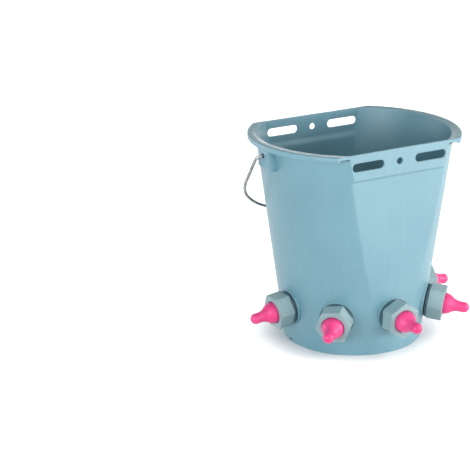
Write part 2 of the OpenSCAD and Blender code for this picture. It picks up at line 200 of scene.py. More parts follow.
# Teat, with the hollow inside its dome as radius and height over the dome's middle
teat_flange_r = 15.2
teat_flange_low_s = 16.05
teat_flange_high_s = 20.05
teat_flange_edge_r = 0.7
teat_mouth_r = 9.5
dome_r = 13.1
dome_arc_r = 12.0
dome_s = 24.3
dome_foot_out = 0.2
dome_foot_up = 0.6
neck_r = 6.7
neck_fillet_r = 16.0
tip_r = 6.75
tip_s = 47.65
outlet_r = 0.5
outlet_edge = 0.35
outlet_mouth_depth = 0.5
outlet_depth = 2.4
hollow_end_r = 2.6
hollow_end_depth = 3.4
hollow_tip_r = 4.1
hollow_neck_r = 3.8
hollow_dome = ((5.4, 10.0), (7.4, 6.4), (9.1, 2.0))


# Shapes

def smooth_max(first, second, soft):
    """Larger of two arrays, with a parabola of width soft easing one into the other where they are close."""
    near = np.maximum(soft - np.abs(first - second), 0) / soft
    return np.maximum(first, second) + near * near * soft / 4


def smooth_min(first, second, soft):
    """Smaller of two arrays, eased in the same way."""
    return -smooth_max(-first, -second, soft)


def halve(outside, low, high, steps=46):
    """Zero of an increasing function on whole arrays, found by halving the span between low and high."""
    for _ in range(steps):
        middle = (low + high) / 2
        under = outside(middle) < 0
        low, high = np.where(under, middle, low), np.where(under, high, middle)
    return (low + high) / 2


def arc(centre_r, centre_s, radius, start, stop, count):
    """Points on a circle between two angles in degrees."""
    angle = np.radians(np.linspace(start, stop, count))
    return np.stack([centre_r + radius * np.cos(angle), centre_s + radius * np.sin(angle)], -1)


def line(*points):
    """Corner points of a profile."""
    return np.array(points, float)


def rounding(radius, count):
    """Distances of a quarter circle's points from the two faces that it joins: r (1 - sin a), falling from r
    to 0, and r (1 - cos a), rising from 0 to r."""
    angle = np.linspace(0, np.pi / 2, count)
    return radius * (1 - np.sin(angle)), radius * (1 - np.cos(angle))


def around(r, turn, s):
    """Points at a radius, a direction and a place along an axis: x = r cos turn, y = r sin turn, z = s."""
    return np.stack(np.broadcast_arrays(r * np.cos(turn), r * np.sin(turn), s), -1)


def turned(profile, cols=72):
    """Profile of radius and place along an axis, turned about the axis."""
    turn = np.linspace(0, 2 * np.pi, cols, endpoint=False)
    return around(profile[:, :1], turn, profile[:, 1:])


def outward(points, quads, tris):
    """Drops unused points and turns the faces round if the volume they enclose comes out negative."""
    used, flat = np.unique(np.concatenate([quads.ravel(), tris.ravel()]), return_inverse=True)
    points = points[used]
    quads, tris = flat[:quads.size].reshape(-1, 4), flat[quads.size:].reshape(-1, 3)
    corners = points[np.concatenate([quads[:, [0, 1, 2]], quads[:, [0, 2, 3]], tris])]
    volume = np.einsum("ij,ij->i", corners[:, 0], np.cross(corners[:, 1], corners[:, 2])).sum()
    return (points, quads, tris) if volume > 0 else (points, quads[:, ::-1], tris[:, ::-1])


def net(points, poles=True):
    """Faces of a grid of points whose columns close in a ring: quads between neighbouring rows and columns.
    The first and last rows have shrunk to poles with fans round them, or else the rows close in a ring."""
    index = np.arange(points[..., 0].size).reshape(points.shape[:2])
    grid = index if poles else np.vstack([index, index[:1]])
    grid = np.hstack([grid, grid[:, :1]])
    middle = grid[1:-1] if poles else grid
    corners = [middle[:-1, :-1], middle[:-1, 1:], middle[1:, 1:], middle[1:, :-1]]
    quads = np.stack(corners, -1).reshape(-1, 4)
    tris = np.zeros((0, 3), int)
    if poles:
        first = np.stack([0 * grid[1, :-1] + grid[0, 0], grid[1, 1:], grid[1, :-1]], -1)
        last = np.stack([grid[-2, :-1], grid[-2, 1:], 0 * grid[-2, :-1] + grid[-1, 0]], -1)
        tris = np.concatenate([first, last])
    return outward(points.reshape(-1, 3), quads, tris)


def mesh_of(name, parts):
    """One mesh from several nets, in metres."""
    points, faces, start = [], [], 0
    for part_points, quads, tris in parts:
        points.append(part_points)
        faces += (quads + start).tolist() + (tris + start).tolist()
        start += len(part_points)
    mesh = bpy.data.meshes.new(name)
    mesh.from_pydata((np.concatenate(points) * METRES).tolist(), [], faces)
    mesh.update()
    return mesh


def linked(name, data):
    """A new object in the scene from a mesh, a camera or a lamp."""
    obj = bpy.data.objects.new(name, data)
    bpy.context.scene.collection.objects.link(obj)
    return obj


def piece(name, parts, body, finish, nodes=(), crease=32.0):
    """A finished piece of the feeder, riding on a body: smooth faces, with edges of more than crease
    degrees left crisp. It stands for the solids named in nodes."""
    mesh = parts if isinstance(parts, bpy.types.Mesh) else mesh_of(name, parts)
    mesh.shade_smooth()
    mesh.set_sharp_from_angle(angle=math.radians(crease))
    mesh.materials.clear()
    mesh.materials.append(finish)
    obj = linked(name, mesh)
    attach(obj, body)
    if nodes:
        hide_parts(*nodes)


def direction(azimuth, elevation):
    """Unit vector at an azimuth, from the front to the right, and an elevation, both in degrees."""
    turn, rise = math.radians(azimuth), math.radians(elevation)
    return np.array([math.sin(turn) * math.cos(rise), -math.cos(turn) * math.cos(rise), math.sin(rise)])


def facing(out):
    """Axes of something that faces outwards: right and up as seen from outside, and out itself."""
    right = np.cross([0.0, 0.0, 1.0], out)
    right /= np.linalg.norm(right)
    return np.stack([right, np.cross(out, right), out])


def placed(i, points, poles=False):
    """Net of a grid made about a station's axis, carried to the place and axis of its nut joint."""
    joint = next(joint for joint in frame["joints"] if joint["name"] == f"nut_{i}_turn")
    place = np.array(joint["pos_m"], float) / METRES
    flat, quads, tris = net(points, poles)
    return outward(place + flat @ facing(np.array(joint["axis"], float)), quads, tris)


# Finishes

CLOUDY = (0.3, 0.7)


def srgb(text):
    """Linear colour of a written one."""
    written = np.array([int(text[k:k + 2], 16) for k in (1, 3, 5)]) / 255
    return np.where(written <= 0.04045, written / 12.92, ((written + 0.055) / 1.055) ** 2.4).tolist()


def of_type(items, kind):
    """First of some nodes or sockets that has a type."""
    return next(item for item in items if item.type == kind)


class Finish:
    """A material with a Principled shader, whose patterns are worked out over Object coordinates."""

    def __init__(self, name):
        self.material = bpy.data.materials.new(name)
        self.material.use_nodes = True
        self.tree = self.material.node_tree
        self.shader = of_type(self.tree.nodes, "BSDF_PRINCIPLED")
        self.place = self.node("ShaderNodeTexCoord").outputs["Object"]

    def node(self, kind, sockets=(), **options):
        """A new node with its options, and with its sockets set to a value or linked to another's output."""
        made = self.tree.nodes.new(kind)
        for option, value in options.items():
            setattr(made, option, value)
        for socket, value in sockets:
            if isinstance(value, bpy.types.NodeSocket):
                self.tree.links.new(value, made.inputs[socket])
            else:
                made.inputs[socket].default_value = value
        return made

    def noise(self, scale, detail, roughness, stretch=(1.0, 1.0, 1.0)):
        """Noise over the piece, its coordinates stretched by a mapping: values from 0 to 1."""
        mapped = self.node("ShaderNodeMapping", [("Vector", self.place), ("Scale", stretch)])
        grains = [("Scale", scale), ("Detail", detail), ("Roughness", roughness)]
        sockets = [("Vector", mapped.outputs["Vector"]), *grains]
        return self.node("ShaderNodeTexNoise", sockets).outputs["Fac"]

    def span(self, source, taken, given=(0.0, 1.0)):
        """Maps a value from the span taken to the span given, clamped."""
        ends = zip(("From Min", "From Max", "To Min", "To Max"), (*taken, *given))
        return self.node("ShaderNodeMapRange", [("Value", source), *ends]).outputs["Result"]

    def combined(self, operation, first, second):
        """Two values combined: their sum, product or the larger one."""
        return self.node("ShaderNodeMath", [(0, first), (1, second)], operation=operation).outputs[0]

    def mixed(self, share, first, second):
        """Two colours mixed by a share, each a written colour or one that comes from another node."""
        mix = self.node("ShaderNodeMix", [("Factor", share)], data_type="RGBA")
        ends = [socket for socket in mix.inputs if socket.type == "RGBA"]
        for end, colour in zip(ends, (first, second)):
            if isinstance(colour, str):
                end.default_value = (*srgb(colour), 1.0)
            else:
                self.tree.links.new(colour, end)
        return of_type(mix.outputs, "RGBA")

    def feed(self, socket, source):
        """Links a value or colour that varies over the surface to the shader."""
        self.tree.links.new(source, self.shader.inputs[socket])

    def set(self, socket, value):
        """Sets a value that is the same all over on the shader itself."""
        self.shader.inputs[socket].default_value = value

    def raised(self, *layers):
        """Bump from layers of height, each with its depth in metres."""
        below = []
        for height, depth in layers:
            bump = [("Height", height), ("Distance", depth), ("Strength", 1.0)]
            below = [("Normal", self.node("ShaderNodeBump", bump + below).outputs["Normal"])]
        self.feed(*below[0])


def bucket_finish():
    """Pale blue moulded plastic: cloudy colour, upright flow streaks, a fine moulded grain, and scuffs by
    foot and rim."""
    blue = Finish("bucket_blue_plastic")
    clouds = blue.noise(11.0, 3.0, 0.55)
    streaks = blue.noise(150.0, 3.0, 0.6, stretch=(1.0, 1.0, 0.05))
    grain = blue.noise(1400.0, 2.0, 0.6)
    scratch = blue.noise(420.0, 4.0, 0.7, stretch=(0.25, 0.25, 1.6))
    height = blue.node("ShaderNodeSeparateXYZ", [("Vector", blue.place)]).outputs["Z"]
    by_foot = blue.span(height, (0.0, 0.016), (1.0, 0.0))
    by_rim = blue.span(height, (0.25, 0.26), (0.0, 0.7))
    worn = blue.combined("MAXIMUM", by_foot, by_rim)
    scuffs = blue.combined("MULTIPLY", worn, blue.span(scratch, (0.52, 0.66), (0.0, 0.55)))
    colour = blue.mixed(blue.span(clouds, CLOUDY), "#6d9bab", "#77a5b3")
    colour = blue.mixed(blue.span(streaks, (0.42, 0.72), (0.0, 0.2)), colour, "#81adb9")
    blue.feed("Base Color", blue.mixed(scuffs, colour, "#97bcc9"))
    satin = blue.span(clouds, CLOUDY, (0.36, 0.46))
    dull = blue.span(scuffs, (0.0, 1.0), (0.0, 0.3))
    blue.feed("Roughness", blue.combined("ADD", satin, dull))
    blue.set("Specular IOR Level", 0.75)
    blue.raised((streaks, 0.000012), (grain, 0.00002), (scratch, 0.00001))
    return blue.material


def fitting_finish(name, low, high, fleck):
    """Hard plastic of nuts and spigots: slightly mottled between two colours, flecked, satin, with a fine
    grain."""
    plastic = Finish(name)
    clouds = plastic.noise(45.0, 3.0, 0.6)
    speck = plastic.noise(900.0, 2.0, 0.6)
    colour = plastic.mixed(plastic.span(clouds, CLOUDY), low, high)
    plastic.feed("Base Color", plastic.mixed(plastic.span(speck, (0.6, 0.75), (0.0, 0.3)), colour, fleck))
    plastic.feed("Roughness", plastic.span(clouds, CLOUDY, (0.42, 0.54)))
    plastic.set("Specular IOR Level", 0.4)
    plastic.raised((speck, 0.000025))
    return plastic.material


def teat_finish():
    """Hot pink soft rubber: a little deeper in patches, satin gloss and a soft skin."""
    rubber = Finish("teat_pink_rubber")
    clouds = rubber.noise(60.0, 3.0, 0.55)
    skin = rubber.noise(1100.0, 2.0, 0.5)
    rubber.feed("Base Color", rubber.mixed(rubber.span(clouds, CLOUDY), "#f43882", "#fd5097"))
    rubber.feed("Roughness", rubber.span(clouds, CLOUDY, (0.34, 0.44)))
    rubber.set("Specular IOR Level", 0.5)
    rubber.raised((skin, 0.00002))
    return rubber.material


def gasket_finish():
    """Black sheet rubber with a dusty bloom."""
    rubber = Finish("gasket_black_rubber")
    bloom = rubber.noise(220.0, 3.0, 0.6)
    rubber.feed("Base Color", rubber.mixed(rubber.span(bloom, (0.4, 0.75)), "#222c30", "#3a484d"))
    rubber.feed("Roughness", rubber.span(bloom, CLOUDY, (0.6, 0.78)))
    rubber.raised((bloom, 0.00004))
    return rubber.material


def valve_finish():
    """White nylon of balls and cages, faintly mottled."""
    nylon = Finish("valve_white_nylon")
    clouds = nylon.noise(120.0, 3.0, 0.6)
    nylon.feed("Base Color", nylon.mixed(nylon.span(clouds, CLOUDY), "#d9dddb", "#eceeea"))
    nylon.feed("Roughness", nylon.span(clouds, CLOUDY, (0.36, 0.48)))
    nylon.raised((clouds, 0.00002))
    return nylon.material


def wire_finish():
    """Zinc-plated steel wire: drawn streaks, patchy plating and duller spots."""
    zinc = Finish("bail_zinc_wire")
    patches = zinc.noise(160.0, 4.0, 0.6)
    drawn = zinc.noise(700.0, 3.0, 0.6, stretch=(0.15, 1.0, 1.0))
    zinc.feed("Base Color", zinc.mixed(zinc.span(patches, (0.35, 0.7)), "#a6a9aa", "#7f8384"))
    zinc.feed("Roughness", zinc.span(patches, CLOUDY, (0.26, 0.44)))
    zinc.set("Metallic", 1.0)
    zinc.raised((drawn, 0.00003))
    return zinc.material


bucket_blue = bucket_finish()
fitting_grey = fitting_finish("fitting_grey_plastic", "#8dacb1", "#9eb9bc", "#b5ccce")
# The spigots' dark slate is partly the plastic's own colour and partly painted shade, darkened to stand in for the
# shadow in the gap between nut and wall.
spigot_slate_and_painted_shade = fitting_finish("spigot_slate_plastic", "#3a5661", "#44616c", "#55727d")
teat_pink = teat_finish()
gasket_black = gasket_finish()
valve_white = valve_finish()
wire_zinc = wire_finish()


# Bucket

def wall_r(z):
    """Outside radius of the round wall: a straight taper from foot to rim."""
    return foot_r + (rim_r - foot_r) / rim_z * z


def flat_d(z, inset):
    """Distance of the flats from the middle: a leaning panel, a step outwards and an upright band, eased at
    both bends, and more so on the wall's inside."""
    soft = np.where(inset > wall_t / 2, step_soft_inside, step_soft)
    panel = panel_foot_d + (panel_step_d - panel_foot_d) / step_low_z * z
    ramp = panel_step_d + (band_d - panel_step_d) * (z - step_low_z) / (step_high_z - step_low_z)
    return smooth_min(smooth_max(panel, ramp, soft), band_d + 0 * z, soft)


def shell_radius(turn, z, inset):
    """Radius of the bucket's wall in direction turn: where the larger of the distances outside cone and
    flats is -inset."""
    cone, flat, flat_share = wall_r(z), flat_d(z, inset), np.abs(np.sin(turn))

    def outside(r):
        return smooth_max(r - cone, r * flat_share - flat, crease_soft) + inset

    return halve(outside, 0 * turn, 0 * turn + 2 * rim_r)


def shell_y(x, z, inset):
    """Distance of the wall's surface from the middle plane of the flats at a place x, z."""
    cone, flat = wall_r(z), flat_d(z, inset)

    def outside(y):
        return smooth_max(np.hypot(x, y) - cone, y - flat, crease_soft) + inset

    return halve(outside, 0 * x, 0 * x + 2 * rim_r)


def crease_turns(z, inset):
    """Directions of the wall's columns at each height: close together beside the crease of flat and cone,
    wider elsewhere. Shares run from the crease to the middle of the flat, and to the middle of the cone."""
    flat = np.array([0.0, 0.007, 0.014, 0.023, 0.036, 0.06, 0.1, 0.17, 0.26, 0.37, 0.48, 0.6, 0.73, 0.87])
    cone = np.concatenate([[0.005, 0.01, 0.016, 0.026, 0.042, 0.065, 0.1], np.linspace(0.14, 1.0, 20)])
    least_crease = np.radians(5)
    reach = np.clip((flat_d(z, inset) - inset) / (wall_r(z) - inset), 0, np.cos(least_crease))
    crease = np.arccos(reach)
    quarter = np.hstack([0 * crease, crease * (1 - flat[::-1]), crease + (np.pi / 2 - crease) * cone])
    half = np.hstack([quarter, np.pi - quarter[:, -2::-1]])
    whole = np.hstack([half, 2 * np.pi - half[:, -2:0:-1]])
    return whole - np.pi / 2


def shell_rows():
    """Rows of the bucket's skin from the middle of its floor up the inside, over the rim, down the outside
    and under the base. Each has a height, an inset from the outside, and a share of the radius there."""
    def rows(z, inset, share=1.0):
        return np.stack(np.broadcast_arrays(z, inset, share), -1)

    wall = np.concatenate([np.linspace(*stretch) for stretch in wall_rows])
    falling, rising = rounding(1.0, 7)
    return np.concatenate([
        rows(floor_z, wall_t + floor_fillet_r, (0.0, 0.25, 0.5, 0.7, 0.85, 0.95, 1.0)),
        rows(floor_z + floor_fillet_r * rising, wall_t + floor_fillet_r * falling)[1:],
        rows(wall, wall_t),
        rows(rim_z - rim_inner_edge_r * falling, wall_t - rim_inner_edge_r * rising),
        rows(rim_z - rim_outer_edge_r * rising, rim_outer_edge_r * falling),
        rows(np.concatenate([wall[::-1], foot_rows]), 0.0),
        rows(foot_edge_r * falling, foot_edge_r * rising),
        rows(foot_edge_r * rising, wall_t - foot_edge_r * falling),
        rows(recess_z - foot_edge_r * falling, wall_t + foot_edge_r * rising),
        rows(recess_z, wall_t + foot_edge_r, (0.9, 0.7, 0.45, 0.2, 0.0)),
    ])


def shell_points():
    """Skin of the bucket on a grid of rows and directions, each point on the eased section of cone and
    flats."""
    z, inset, share = shell_rows().T[:, :, None]
    turns = crease_turns(z, inset)
    return around(shell_radius(turns, z, inset) * share, turns, z)


def stadium(length, width, count=18):
    """Outline of a slot about its middle: two half circles joined by straight sides."""
    angle = np.linspace(-np.pi / 2, np.pi / 2, count)
    right = np.stack([(length - width) / 2 + width / 2 * np.cos(angle), width / 2 * np.sin(angle)], -1)
    return np.concatenate([right, -right])


def band_outlines(grow):
    """Outlines of the two slots and the round hole of a band in x and z, grown by a width."""
    middles = ((-slot_x, slot_l, slot_w), (slot_x, slot_l, slot_w), (0.0, 2 * hole_r, 2 * hole_r))
    return [stadium(length + 2 * grow, width + 2 * grow) + [x, slot_z] for x, length, width in middles]


def prism(outline, low, high):
    """Closed prism of an outline in x and z along y, for cutting."""
    middle = outline.mean(0)
    y, share = np.array([(low, 0.0), (low, 1.0), (high, 1.0), (high, 0.0)]).T[:, :, None]
    x, z = np.moveaxis(middle + (outline - middle) * share[..., None], -1, 0)
    return net(np.stack([x, y + 0 * x, z], -1))


def bucket_cutters():
    """Everything cut from the skin: slots and holes of both bands, the station holes and the vent."""
    def rod(radius, low, high):
        return line([0, low], [radius, low], [radius, high], [0, high])

    near, far = band_cut
    reaches = ((-far, -near), (near, far))
    parts = [prism(outline, *reach) for outline in band_outlines(slot_edge_r) for reach in reaches]
    parts += [placed(i, turned(rod(tail_hole_r, *station_cut)), poles=True) for i in STATIONS]
    points, quads, tris = net(turned(rod(vent_r, *vent_cut), 24))
    vent = points @ facing(direction(vent_turn, 0.0)) + [0, 0, vent_z]
    return [*parts, outward(vent, quads, tris)]


def cut_skin():
    """Skin of the bucket with its slots and holes cut out."""
    skin = linked("skin", mesh_of("skin", [net(shell_points())]))
    cutter = linked("cutter", mesh_of("cutter", bucket_cutters()))
    cut = skin.modifiers.new("holes", "BOOLEAN")
    cut.operation, cut.solver, cut.object = "DIFFERENCE", "EXACT", cutter
    bpy.context.view_layer.update()
    mesh = bpy.data.meshes.new_from_object(skin.evaluated_get(bpy.context.evaluated_depsgraph_get()))
    for obj in (skin, cutter):
        bpy.data.objects.remove(obj)
    mesh.name = "bucket_shell"
    return mesh


def slot_edges():
    """Rounded edges of the slots and holes: an outline grown by a quarter circle at both faces of the wall,
    straight between them, and closed inside the wall."""
    falling, rising = rounding(slot_edge_r, 6)
    root = slot_edge_r + slot_edge_root
    grow = np.concatenate([falling, falling[::-1], [root, root]])
    depth = np.concatenate([rising, wall_t - rising[::-1], [wall_t - slot_edge_sunk, slot_edge_sunk]])
    outlines = np.array([band_outlines(width) for width in grow])
    parts = []
    for side in (-1, 1):
        for x, z in np.moveaxis(outlines, (1, 3), (0, 1)):
            y = side * shell_y(x, z, depth[:, None])
            parts.append(net(np.stack([x, y, z], -1), poles=False))
    return parts


def lip_profile(inset, thickness):
    """Closed section of the lip in radius and height, inset along its normals: flat top, round outer edge,
    turned-down skirt and underside."""
    low, inner, under = rim_z - skirt_h, lip_r - skirt_t, rim_z - thickness
    section = np.concatenate([
        line([rim_r - lip_root, rim_z - lip_root_sunk], [rim_r - lip_overlap, rim_z]),
        arc(lip_r - lip_edge_r, rim_z - lip_edge_r, lip_edge_r, 90, 0, 7),
        arc(lip_r - skirt_edge_r, low + skirt_edge_r, skirt_edge_r, 0, -90, 5),
        arc(inner + skirt_edge_r, low + skirt_edge_r, skirt_edge_r, -90, -180, 5),
        arc(inner - lip_fillet_r, under - lip_fillet_r, lip_fillet_r, 0, 90, 5),
        arc(rim_r + lip_fillet_out, under - lip_fillet_r, lip_fillet_r, 90, 180, 5),
        line([rim_r - lip_root, under - lip_root_drop]),
    ])
    along = np.roll(section, -1, 0) - np.roll(section, 1, 0)
    along /= np.linalg.norm(along, axis=1, keepdims=True)
    return section - inset * np.stack([-along[:, 1], along[:, 0]], -1)


def lip_parts():
    """The lip on both round sides: its section carried round the rim to the plane of the slot bands. The
    last stretch is thick, which closes the hollow, and its end edges are softened."""
    ends = [(falling, rising, lip_end_h) for falling, rising in zip(*rounding(lip_end_edge_r, 5))]
    ends += [(0.0, skirt_t, lip_end_h), (0.0, skirt_t + lip_end_step, lip_t)]
    columns = [(1.0, *end) for end in ends]
    columns += [(share, 0.0, 0.0, lip_t) for share in np.linspace(lip_run, -lip_run, 58)]
    columns += [(-1.0, *end) for end in ends[::-1]]
    loops = []
    for share, inset, back, thickness in columns:
        r, z = lip_profile(inset, thickness).T
        loops.append(around(r, np.arcsin((band_d - back) / r) * share, z))
    first, last = [0 * loop + loop.mean(0) for loop in (loops[0], loops[-1])]
    grid = np.array([first, *loops, last])
    return [net(grid * [side, 1, 1]) for side in (-1, 1)]


def ear_face_x(z):
    """Distance of an ear's outer face from the middle: upright, sloping back to the wall at the bottom,
    eased at the bend."""
    foot_x = wall_r(ear_low_z)
    slope = foot_x + (z - ear_low_z) * (ear_x - foot_x) / (ear_face_z - ear_low_z)
    return smooth_min(slope, ear_x + 0 * z, ear_bend_soft)


def ear_outline(inset, side_points=12):
    """Rounded rectangle of an ear in y and z seen from the side, inset but for its top: corner arcs, and
    points along the sides between them."""
    y, low_z = ear_half_w - inset, ear_low_z + inset
    top, low = ear_top_corner_r - inset, ear_low_corner_r - inset
    corners = [
        arc(y - top, ear_top_z - top, top, 0, 90, 7),
        arc(top - y, ear_top_z - top, top, 90, 180, 7),
        arc(low - y, low_z + low, low, 180, 270, 7),
        arc(y - low, low_z + low, low, 270, 360, 7),
    ]
    share = np.linspace(0, 1, side_points + 2)[1:-1, None]
    stretches = []
    for corner, following in zip(corners, corners[1:] + corners[:1]):
        stretches += [corner, corner[-1] + (following[0] - corner[-1]) * share]
    return np.concatenate(stretches)


def ear_parts():
    """An ear on each side: its outline carried out from inside the wall, rounded on to the outer face, and
    from there to the pivot hole with its sunk mouth."""
    base = ear_outline(0.0)
    inner_x = np.sqrt((wall_r(base[:, 1]) - ear_root) ** 2 - base[:, 0] ** 2)
    side_w = np.maximum(ear_face_x(base[:, 1]) - ear_edge_r - inner_x, ear_least_side)
    rings = [(0 * inner_x + wall_r(ear_pole_z) - ear_pole_root, 0 * base + [0, ear_pole_z])]
    rings += [(inner_x + side_w * share, base) for share in (0.0, 0.35, 0.7, 1.0)]
    for falling, rising in np.transpose(rounding(ear_edge_r, 6))[1:]:
        ring = ear_outline(rising)
        rings.append((np.maximum(ear_face_x(ring[:, 1]) - falling, inner_x + ear_least_face), ring))
    pivot = np.array([0, pivot_z])
    edge = ear_outline(ear_edge_r)
    turn = np.arctan2(edge[:, 1] - pivot_z, edge[:, 0])
    circle = np.stack([np.cos(turn), np.sin(turn)], -1)
    for share in np.linspace(0, 1, 12)[1:]:
        ring = edge + (circle * pivot_mouth_r + pivot - edge) * share
        rings.append((ear_face_x(ring[:, 1]), ring))
    falling, rising = rounding(pivot_mouth_edge_r, 6)
    mouth_r, sunk_x = pivot_mouth_r - pivot_mouth_edge_r, ear_x - pivot_mouth_depth
    bore = np.concatenate([
        np.stack([mouth_r + falling, ear_x - rising], -1)[1:],
        line([mouth_r, sunk_x], [pivot_r, sunk_x - pivot_mouth_bevel]),
        line([pivot_r, pivot_end_x], [0, pivot_end_x]),
    ])
    rings += [(0 * turn + x, circle * radius + pivot) for radius, x in bore]
    grid = np.array([np.column_stack(ring) for ring in rings])
    return [net(grid * [side, 1, 1]) for side in (-1, 1)]


def seat_profile():
    """Closed section of a seat: flat face, rounded edge, side sinking into the wall, and the rounded pad
    inside."""
    return np.concatenate([
        line([tail_hole_r, 0.0]),
        arc(seat_r - seat_edge_r, -seat_edge_r, seat_edge_r, 90, 0, 6),
        line([seat_r + seat_draft, seat_side_s]),
        arc(seat_r - pad_edge_r, -seat_t + pad_edge_r, pad_edge_r, 0, -90, 6),
        line([tail_hole_r, -seat_t]),
    ])


seats = [placed(i, turned(seat_profile(), 96)) for i in STATIONS]
piece("bucket_shell", cut_skin(), "bucket", bucket_blue, MOULDING)
piece("slot_edges", slot_edges(), "bucket", bucket_blue, crease=50.0)
piece("rim_lips", lip_parts(), "bucket", bucket_blue, crease=50.0)
piece("bail_ears", ear_parts(), "bucket", bucket_blue, crease=50.0)
piece("station_seats", seats, "bucket", bucket_blue, crease=50.0)


# Bail

def bail_path():
    """Middle line of the wire in the bail's own plane, x across and y down from the pivot: stub, bend,
    leaning leg, corner arc and wide bottom arc, then the same mirrored."""
    arc_y = bail_depth - bail_arc_r
    join = math.radians(bail_join)
    corner = (bail_arc_r - bail_corner_r) * np.array([math.cos(join), math.sin(join)]) + [0, arc_y]
    stub_xs = np.linspace(stub_start_x + wire_end_r, stub_x, 6)[:-1]
    bend = arc(stub_x, bail_bend_r, bail_bend_r, -90, leg_lean, 14)
    turn = arc(*corner, bail_corner_r, leg_lean, bail_join, 22)
    leg = bend[-1] + (turn[0] - bend[-1]) * np.linspace(0, 1, 12)[1:-1, None]
    bottom = arc(0, arc_y, bail_arc_r, bail_join, 90, 40)
    half = np.concatenate([np.stack([stub_xs, 0 * stub_xs], -1), bend, leg, turn[:-1], bottom])
    return np.concatenate([half, half[-2::-1] * [-1, 1]])


def bail_points(cols=28):
    """Round wire carried along the middle line, with rounded ends: points lie r cos turn across the line and
    r sin turn out of its plane. The whole is turned about the pivot to its resting angle."""
    path = bail_path()
    along = np.gradient(path, axis=0)
    along /= np.linalg.norm(along, axis=1, keepdims=True)
    falling, rising = rounding(wire_end_r, 5)
    start = path[0] - along[0] * (wire_end_r - rising[:-1, None])
    stop = path[-1] + along[-1] * (wire_end_r - falling[1:, None])
    growing, shrinking = wire_r - falling[:-1], wire_r - rising[1:]
    radius = np.concatenate([[0.0], growing, 0 * path[:, 0] + wire_r, shrinking, [0.0]])
    path = np.concatenate([start[:1], start, path, stop, stop[-1:]])
    along = np.concatenate([np.repeat(along[:1], 5, 0), along, np.repeat(along[-1:], 5, 0)])
    turn = np.linspace(0, 2 * np.pi, cols, endpoint=False)
    across = radius[:, None] * np.cos(turn)
    out = radius[:, None] * np.sin(turn)
    x = path[:, :1] - along[:, 1:] * across
    down = path[:, 1:] + along[:, :1] * across
    sine, cosine = math.sin(math.radians(bail_rest)), math.cos(math.radians(bail_rest))
    return np.stack([x, down * sine + out * cosine, pivot_z - down * cosine + out * sine], -1)


piece("bail_wire", [net(bail_points())], "bail", wire_zinc, ["bail_handle"], crease=50.0)


# Fittings

def hex_turns(turn):
    """Directions round a hexagon turned by an angle, close together at its corners, and the same directions
    measured from the middle of each flat."""
    sector = np.concatenate([np.linspace(-30, -26, 7)[1:], np.linspace(-22, 22, 11), np.linspace(26, 30, 7)])
    flats = 30 + 60 * np.arange(6)[:, None]
    return np.radians((sector + flats).ravel() + turn), np.radians(np.tile(sector, 6))


def hex_radius(from_flat, half_af, corner_r):
    """Radius of a hexagon with rounded corners: half_af / cos from_flat on the flats, and a circle about
    each corner's centre beyond."""
    centre = (half_af - corner_r) / math.cos(math.pi / 6)
    from_corner = math.pi / 6 - np.abs(from_flat)
    aside = centre * np.sin(from_corner)
    rounded = centre * np.cos(from_corner) + np.sqrt(np.maximum(corner_r ** 2 - aside ** 2, 0))
    on_flat = half_af * np.abs(np.tan(from_flat)) <= (half_af - corner_r) * math.tan(math.pi / 6)
    return np.where(on_flat, half_af / np.cos(from_flat), rounded)


def hex_nut(turn, half_af, low, high, bore, chamfer):
    """Hexagonal nut on a grid: rounded hexagon outside, with rounded edges and the cone of a turned chamfer
    at both ends, then round rows of the radius and place that bore lists, from front face to rear face."""
    turns, from_flat = hex_turns(turn)
    falling, rising = rounding(nut_edge_r, 6)
    straight = np.linspace(low + 3 * nut_edge_r, high - 3 * nut_edge_r, 8)
    inset = np.concatenate([falling, 0 * straight, rising])[:, None]
    s = np.concatenate([low + rising, straight, high - falling])[:, None]
    corner = half_af / math.cos(math.pi / 6)
    cone = corner - chamfer + chamfer_slope * np.minimum(s - low, high - s) - chamfer_edge_share * inset
    hexagon = hex_radius(from_flat, half_af - inset, nut_corner_r)
    bore_r, bore_s = np.array(bore).T[:, :, None]
    r = np.vstack([smooth_min(hexagon, cone, chamfer_soft), bore_r + 0 * turns])
    return around(r, turns, np.vstack([s, bore_s]))


def union_nut_points(turn):
    """Union nut: hexagon with a rounded mouth, a front lip and the wider bore behind it."""
    edge = nut_mouth_edge_r
    bore = [
        *arc(nut_mouth_r + edge, nut_front_s - edge, edge, 90, 180, 6),
        (nut_mouth_r, nut_lip_s),
        (nut_bore_r, nut_lip_s),
        (nut_bore_r, nut_rear_s + nut_bevel),
        (nut_bore_r + nut_bevel, nut_rear_s),
    ]
    return hex_nut(turn, nut_half_af, nut_rear_s, nut_front_s, bore, nut_chamfer)


def lock_nut_points():
    """Lock nut: hexagon with a bevelled bore."""
    low, high = lock_nut_low_s, -seat_t
    bore = [
        (tail_hole_r + nut_bevel, high),
        (tail_hole_r, high - nut_bevel),
        (tail_hole_r, low + nut_bevel),
        (tail_hole_r + nut_bevel, low),
    ]
    return hex_nut(0.0, lock_nut_half_af, low, high, bore, lock_nut_chamfer)


